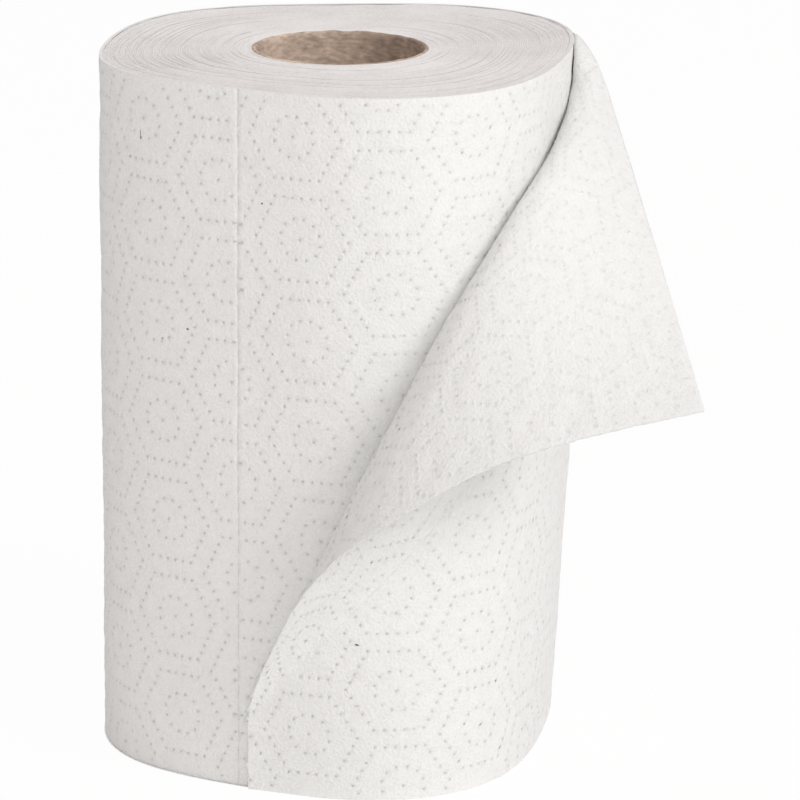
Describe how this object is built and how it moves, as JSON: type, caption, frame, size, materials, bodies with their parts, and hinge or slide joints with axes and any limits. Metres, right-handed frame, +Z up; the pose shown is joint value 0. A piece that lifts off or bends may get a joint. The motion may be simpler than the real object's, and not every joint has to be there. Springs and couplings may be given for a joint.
{
  "type": "paper towel roll",
  "caption": "White embossed paper towel roll on a cardboard core, standing on end, with the upper corner of its torn end peeled off the roll and folded back.",
  "frame": {"origin": "centre of the core's bore at the roll's lower end", "axes": "+Z up along the core, towards the upper end where the corner is peeled; -Y towards the front, where the torn edge lies on the roll; +X towards the side to which the corner is folded back"},
  "size_m": [0.167, 0.1714, 0.2],
  "materials": {
    "core_board": "matte",
    "towel_paper": "matte"
  },
  "bodies": {
    "root": {"cardboard_core": "core_board", "paper_roll": "towel_paper"}
  },
  "joints": []
}
